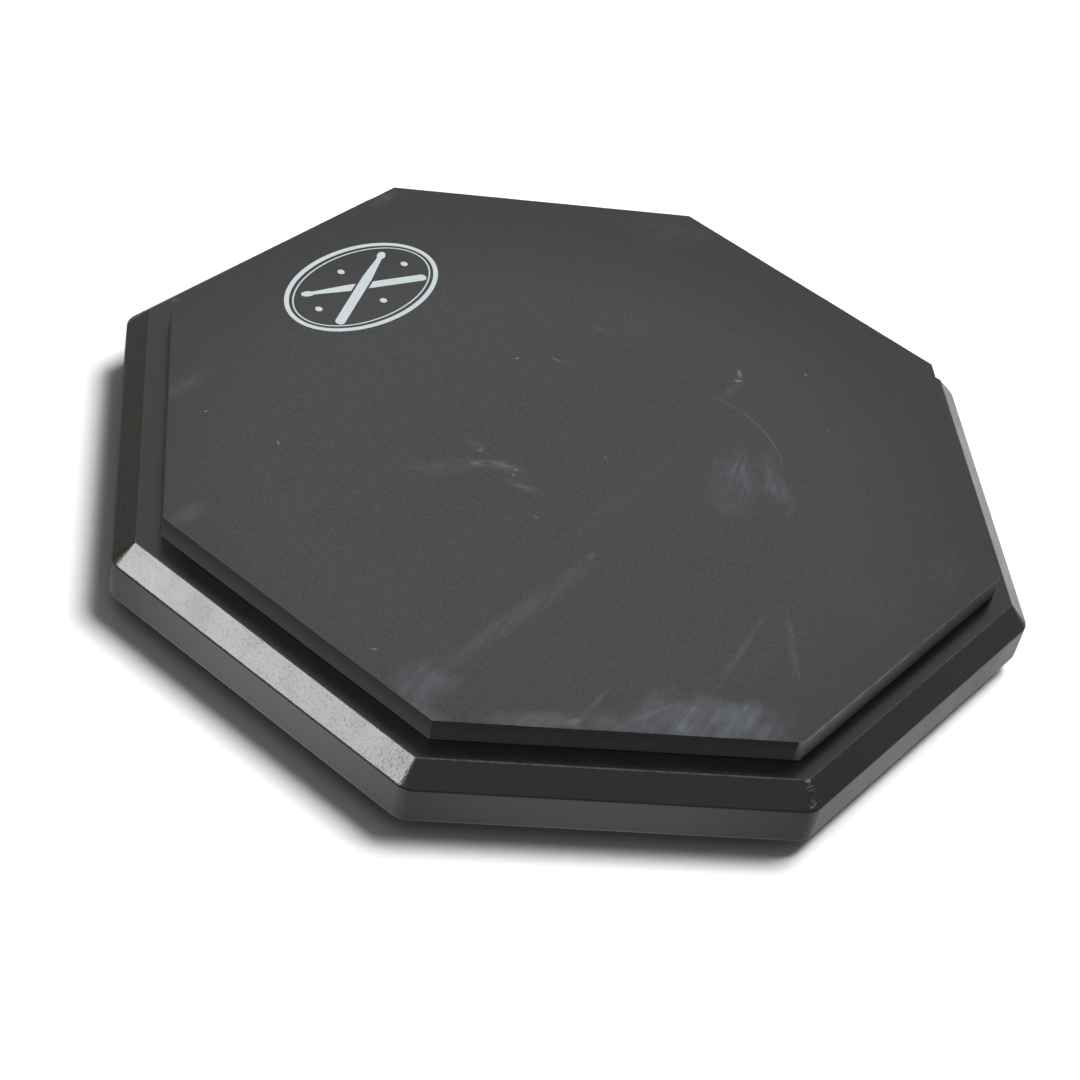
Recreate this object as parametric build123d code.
from build123d import *

import os

# Octagonal drummer's practice pad, in millimetres. A thick rubber sheet is glued to a heavier painted
# fibreboard base with a chamfered rim. The base stands on four screwed rubber feet, and a threaded insert
# in its underside takes a stand's rod.
#
# Frame: the origin is on the floor under the middle of the base. +Z is up, +Y points from the player to
# the flat that carries the printed emblem, and +X is to the player's right.

PARTS_FOLDER = "parts"

# Driving dimensions. Widths of the octagons are across flats.
SIDES = 8
SURFACE_WIDTH = 254.0  # a ten inch playing surface
SURFACE_THICKNESS = 7.5
LAND_WIDTH = 6.35  # flat ledge between the rubber and the chamfer
CHAMFER = 6.35  # 45 degree chamfer round the top of the base
BOARD_THICKNESS = 19.0
ADHESIVE_THICKNESS = 0.2
FOOT_HEIGHT = 6.0

# The rubber is laid by hand, so it sits a little off the middle of the base and a touch turned.
SURFACE_SHIFT_X = 1.0
SURFACE_SHIFT_Y = -0.3
SURFACE_TURN = 0.1  # degrees

# Rounded corners and edges.
BOARD_CORNER_RADIUS = 7.0  # upright corners of the base, sanded round
CHAMFER_CORNER_RADIUS = 0.6  # the same corners where the chamfer meets the land
BOARD_EDGE_RADIUS = 0.5  # both long edges of the chamfer
BOARD_FOOT_EDGE_RADIUS = 1.0  # lower edge of the base
SURFACE_CORNER_RADIUS = 0.6
SURFACE_EDGE_RADIUS = 0.4

# Adhesive film, held back from the edge of the rubber.
ADHESIVE_INSET = 1.0

# Printed emblem: an oval ring round two crossed drumsticks.
EMBLEM_X = 1.5  # from the middle of the rubber
EMBLEM_Y = 94.3
EMBLEM_WIDTH = 62.0
EMBLEM_HEIGHT = 38.0
INK_THICKNESS = 0.06
RING_WIDTH = 1.6
RING_GAP = 1.1
INNER_RING_WIDTH = 0.5
STICK_LENGTH = 43.0
STICK_BUTT_WIDTH = 3.2
STICK_NECK_WIDTH = 1.5
STICK_TIP_LENGTH = 4.4
STICK_TIP_WIDTH = 2.7
STICK_TAPER_START = 0.62  # share of the length from the butt, where the taper begins
STICK_ANGLE = 24.0  # degrees each stick leans from the emblem's long axis
STICK_CROSSING_GAP = 0.7
DOT_RADIUS = 1.2
DOT_REACH_X = 20.5
DOT_REACH_Y = 9.6

# Feet: one near each corner of a square, under alternate flats.
FOOT_OFFSET = 74.0
FOOT_TOP_RADIUS = 10.0
FOOT_BOTTOM_RADIUS = 8.8
FOOT_EDGE_RADIUS = 0.7
FOOT_RECESS_RADIUS = 5.1
FOOT_RECESS_DEPTH = 3.5
FOOT_HOLE_RADIUS = 2.1
FOOT_PLACES = {
    "front_left": (-FOOT_OFFSET, -FOOT_OFFSET),
    "front_right": (FOOT_OFFSET, -FOOT_OFFSET),
    "rear_left": (-FOOT_OFFSET, FOOT_OFFSET),
    "rear_right": (FOOT_OFFSET, FOOT_OFFSET),
}

# Washer and screw of each foot: a 3.5 x 16 pan head wood screw with a cross recess.
WASHER_RADIUS = 5.0
WASHER_HOLE_RADIUS = 2.0
WASHER_THICKNESS = 1.0
SCREW_HEAD_RADIUS = 3.5
SCREW_HEAD_HEIGHT = 2.0
SCREW_HEAD_ROUND = 0.9
SCREW_RADIUS = 1.75
SCREW_LENGTH = 16.0
SCREW_POINT_LENGTH = 3.0
CROSS_WIDTH = 1.0
CROSS_REACH = 3.8
CROSS_DEPTH = 1.2

# Threaded insert for an M8 stand rod: a flanged nut with an 8 mm hexagon socket in its mouth. Its thread
# is a plain bore at the minor diameter.
INSERT_RADIUS = 6.0
INSERT_LENGTH = 15.0
INSERT_FLANGE_RADIUS = 8.5
INSERT_FLANGE_THICKNESS = 1.5
INSERT_EDGE_RADIUS = 0.4
THREAD_BORE_RADIUS = 3.4
HEX_ACROSS_FLATS = 8.0
HEX_DEPTH = 5.0

# Room round what is screwed into the board, and the blind end past it.
PILOT_CLEARANCE = 0.05
INSERT_HOLE_SPARE_DEPTH = 1.0
PILOT_SPARE_DEPTH = 0.5

# Heights above the floor.
BOARD_BOTTOM = FOOT_HEIGHT
BOARD_TOP = BOARD_BOTTOM + BOARD_THICKNESS
CHAMFER_BOTTOM = BOARD_TOP - CHAMFER
SURFACE_BOTTOM = BOARD_TOP + ADHESIVE_THICKNESS
SURFACE_TOP = SURFACE_BOTTOM + SURFACE_THICKNESS
WASHER_TOP = FOOT_RECESS_DEPTH
WASHER_BOTTOM = WASHER_TOP - WASHER_THICKNESS
SCREW_HEAD_BOTTOM = WASHER_BOTTOM - SCREW_HEAD_HEIGHT
SCREW_POINT = WASHER_BOTTOM + SCREW_LENGTH
INSERT_BOTTOM = BOARD_BOTTOM - INSERT_FLANGE_THICKNESS
INSERT_TOP = BOARD_BOTTOM + INSERT_LENGTH

# Widths across flats of the base.
LAND_OUTER_WIDTH = SURFACE_WIDTH + 2 * LAND_WIDTH
BOARD_WIDTH = LAND_OUTER_WIDTH + 2 * CHAMFER

EDGE_TOLERANCE = 0.01
STANDING = (Align.CENTER, Align.CENTER, Align.MIN)  # a shape that stands on its own bottom face


def octagon(width, corner_radius):
    """A regular octagon with two flats square to each axis and rounded corners."""
    sharp = RegularPolygon(width / 2, SIDES, major_radius=False, rotation=180 / SIDES)
    return fillet(sharp.vertices(), corner_radius)


def edges_at(solid, height):
    """The edges of a solid that lie flat at one height."""
    return solid.edges().filter_by_position(Axis.Z, height - EDGE_TOLERANCE, height + EDGE_TOLERANCE)


def disc(radius, bottom, top):
    """An upright cylinder on the Z axis between two heights."""
    return Pos(0, 0, bottom) * Cylinder(radius, top - bottom, align=STANDING)


def cone(bottom_radius, top_radius, bottom, top):
    """An upright cone on the Z axis between two heights."""
    return Pos(0, 0, bottom) * Cone(bottom_radius, top_radius, top - bottom, align=STANDING)


def lay_surface(shape):
    """Puts something centred on the rubber where the rubber was laid."""
    return Pos(SURFACE_SHIFT_X, SURFACE_SHIFT_Y, 0) * Rot(0, 0, SURFACE_TURN) * shape


def base_board():
    """Fibreboard base: an upright rim, a chamfer whose rounded corners run out towards the land, and holes."""
    outline = Pos(0, 0, BOARD_BOTTOM) * octagon(BOARD_WIDTH, BOARD_CORNER_RADIUS)
    rim = extrude(outline, CHAMFER_BOTTOM - BOARD_BOTTOM)
    chamfer_foot = Pos(0, 0, CHAMFER_BOTTOM) * octagon(BOARD_WIDTH, BOARD_CORNER_RADIUS)
    chamfer_head = Pos(0, 0, BOARD_TOP) * octagon(LAND_OUTER_WIDTH, CHAMFER_CORNER_RADIUS)
    board = rim + loft([chamfer_foot, chamfer_head], ruled=True)
    board = fillet(edges_at(board, BOARD_TOP), BOARD_EDGE_RADIUS)
    board = fillet(edges_at(board, CHAMFER_BOTTOM), BOARD_EDGE_RADIUS)
    board = fillet(edges_at(board, BOARD_BOTTOM), BOARD_FOOT_EDGE_RADIUS)
    insert_hole_end = INSERT_TOP + INSERT_HOLE_SPARE_DEPTH
    board -= disc(INSERT_RADIUS + PILOT_CLEARANCE, BOARD_BOTTOM, insert_hole_end)
    pilot_hole_end = SCREW_POINT + PILOT_SPARE_DEPTH
    pilot_hole = disc(SCREW_RADIUS + PILOT_CLEARANCE, BOARD_BOTTOM, pilot_hole_end)
    for x, y in FOOT_PLACES.values():
        board -= Pos(x, y, 0) * pilot_hole
    return board


def playing_surface():
    """Rubber sheet that the sticks strike."""
    outline = Pos(0, 0, SURFACE_BOTTOM) * octagon(SURFACE_WIDTH, SURFACE_CORNER_RADIUS)
    sheet = extrude(outline, SURFACE_THICKNESS)
    sheet = fillet(edges_at(sheet, SURFACE_TOP), SURFACE_EDGE_RADIUS)
    return lay_surface(sheet)


def surface_adhesive():
    """Thin film of contact adhesive between the rubber and the base."""
    width = SURFACE_WIDTH - 2 * ADHESIVE_INSET
    outline = Pos(0, 0, BOARD_TOP) * octagon(width, SURFACE_CORNER_RADIUS)
    return lay_surface(extrude(outline, ADHESIVE_THICKNESS))


def oval_ring(half_width, half_height, line_width):
    """An oval line, measured at its outside."""
    return Ellipse(half_width, half_height) - Ellipse(half_width - line_width, half_height - line_width)


def stick_outline(margin=0.0):
    """A drumstick lying along X, centred, with its tip at +X, grown by a margin all round."""
    butt_x = -STICK_LENGTH / 2
    taper_x = butt_x + STICK_TAPER_START * STICK_LENGTH
    neck_x = STICK_LENGTH / 2 - STICK_TIP_LENGTH * 0.8
    butt = STICK_BUTT_WIDTH / 2 + margin
    neck = STICK_NECK_WIDTH / 2 + margin
    shaft = make_face(
        Polyline(
            (butt_x, -butt),
            (taper_x, -butt),
            (neck_x, -neck),
            (neck_x, neck),
            (taper_x, butt),
            (butt_x, butt),
            close=True,
        )
    )
    tip = Pos(STICK_LENGTH / 2 - STICK_TIP_LENGTH / 2, 0) * Ellipse(
        STICK_TIP_LENGTH / 2 + margin, STICK_TIP_WIDTH / 2 + margin
    )
    butt_end = Pos(butt_x, 0) * Circle(butt)
    return shaft + tip + butt_end


def printed_emblem():
    """Plain pad print on the rubber: two oval lines, crossed sticks and four dots."""
    half_width = EMBLEM_WIDTH / 2
    half_height = EMBLEM_HEIGHT / 2
    inner_inset = RING_WIDTH + RING_GAP
    ink = oval_ring(half_width, half_height, RING_WIDTH)
    ink += oval_ring(half_width - inner_inset, half_height - inner_inset, INNER_RING_WIDTH)
    upper_stick = Rot(0, 0, STICK_ANGLE) * stick_outline()
    crossing_room = Rot(0, 0, STICK_ANGLE) * stick_outline(STICK_CROSSING_GAP)
    lower_stick = Rot(0, 0, 180 - STICK_ANGLE) * stick_outline()
    ink += upper_stick
    ink += lower_stick - crossing_room
    for x, y in ((DOT_REACH_X, 0), (-DOT_REACH_X, 0), (0, DOT_REACH_Y), (0, -DOT_REACH_Y)):
        ink += Pos(x, y) * Circle(DOT_RADIUS)
    return lay_surface(extrude(Pos(EMBLEM_X, EMBLEM_Y, SURFACE_TOP) * ink, INK_THICKNESS))


def foot():
    """Moulded rubber foot: a low cone with a recess that hides the washer and the screw head."""
    body = cone(FOOT_BOTTOM_RADIUS, FOOT_TOP_RADIUS, 0, FOOT_HEIGHT)
    body = fillet(edges_at(body, 0), FOOT_EDGE_RADIUS)
    body -= disc(FOOT_RECESS_RADIUS, 0, FOOT_RECESS_DEPTH)
    body -= disc(FOOT_HOLE_RADIUS, FOOT_RECESS_DEPTH, FOOT_HEIGHT)
    return body


def foot_washer():
    """Steel washer at the bottom of a foot's recess."""
    hole = disc(WASHER_HOLE_RADIUS, WASHER_BOTTOM, WASHER_TOP)
    return disc(WASHER_RADIUS, WASHER_BOTTOM, WASHER_TOP) - hole


def foot_screw():
    """Pan head wood screw, head down, with a cross recess. The thread is a plain shank with a point."""
    head = disc(SCREW_HEAD_RADIUS, SCREW_HEAD_BOTTOM, WASHER_BOTTOM)
    head = fillet(edges_at(head, SCREW_HEAD_BOTTOM), SCREW_HEAD_ROUND)
    slot = Pos(0, 0, SCREW_HEAD_BOTTOM) * Box(CROSS_REACH, CROSS_WIDTH, CROSS_DEPTH, align=STANDING)
    for angle in (45, 135):
        head -= Rot(0, 0, angle) * slot
    point_start = SCREW_POINT - SCREW_POINT_LENGTH
    shank = disc(SCREW_RADIUS, WASHER_BOTTOM, point_start)
    point = cone(SCREW_RADIUS, 0, point_start, SCREW_POINT)
    return head + shank + point


def stand_insert():
    """Flanged threaded insert, screwed up into the middle of the base."""
    body = disc(INSERT_RADIUS, BOARD_BOTTOM, INSERT_TOP)
    flange = disc(INSERT_FLANGE_RADIUS, INSERT_BOTTOM, BOARD_BOTTOM)
    flange = fillet(edges_at(flange, INSERT_BOTTOM), INSERT_EDGE_RADIUS)
    hexagon = Pos(0, 0, INSERT_BOTTOM) * RegularPolygon(HEX_ACROSS_FLATS / 2, 6, major_radius=False)
    socket = extrude(hexagon, HEX_DEPTH)
    return body + flange - socket - disc(THREAD_BORE_RADIUS, INSERT_BOTTOM, INSERT_TOP)


def write(node, solid):
    """Writes one sub-part as a STEP file named after its node."""
    export_step(solid, os.path.join(PARTS_FOLDER, f"{node}.step"))


os.makedirs(PARTS_FOLDER, exist_ok=True)

write("base_board", base_board())
write("playing_surface", playing_surface())
write("surface_adhesive", surface_adhesive())
write("printed_emblem", printed_emblem())
write("stand_insert", stand_insert())

for place, (x, y) in FOOT_PLACES.items():
    write(f"foot_{place}", Pos(x, y, 0) * foot())
    write(f"foot_washer_{place}", Pos(x, y, 0) * foot_washer())
    write(f"foot_screw_{place}", Pos(x, y, 0) * foot_screw())
